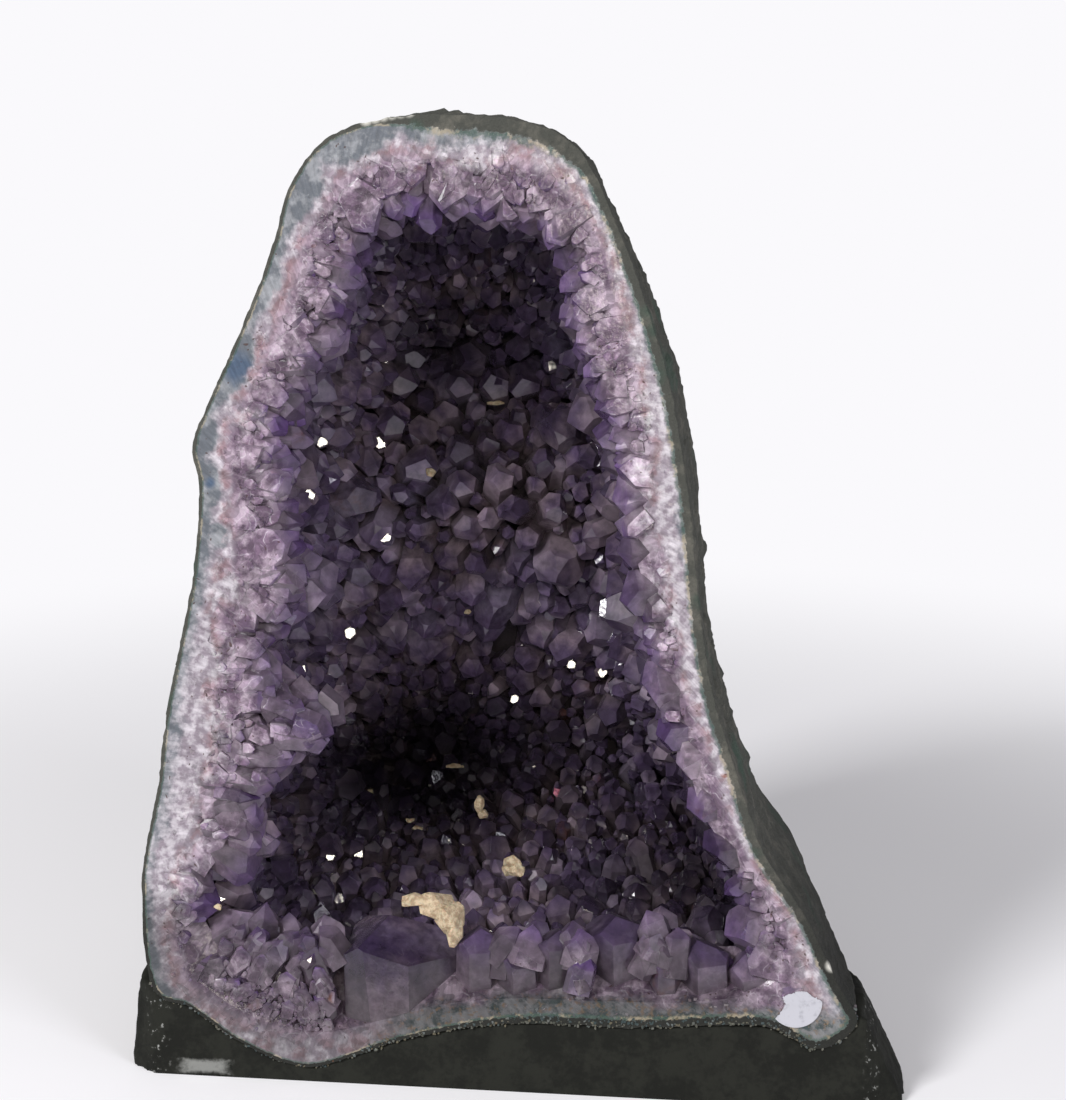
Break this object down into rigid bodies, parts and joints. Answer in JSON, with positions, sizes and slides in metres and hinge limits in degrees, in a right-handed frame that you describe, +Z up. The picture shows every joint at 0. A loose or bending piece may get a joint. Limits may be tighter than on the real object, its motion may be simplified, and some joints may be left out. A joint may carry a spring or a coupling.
{
  "type": "amethyst cathedral geode",
  "caption": "Half of a tall hollow stone sawn open, lined with amethyst crystals and set upright in a flat cement foot, standing free as an ornament",
  "frame": {"origin": "the middle of the whole thing's underside, on the surface that it stands on", "axes": "+Z up; the sawn, open front faces -Y and leans back about 7 degrees; +X is to the right seen from the front"},
  "size_m": [0.38, 0.2172, 0.4556],
  "materials": {
    "agate_and_rind": "rough rind outside, sawn agate and quartz in front",
    "amethyst": "glassy crystal faces, clear to milky, purple towards the points",
    "calcite": "dull and crumbly",
    "painted_cement": "matt dark grey-green paint on cement",
    "white_paper": "matt paper, torn"
  },
  "bodies": {
    "root": {"geode_stone": "agate_and_rind", "crystal_crust": "amethyst", "calcite_cluster": "calcite", "calcite_chip_floor": "calcite", "calcite_chip_back": "calcite", "cement_foot": "painted_cement", "paper_label": "white_paper"}
  },
  "joints": []
}
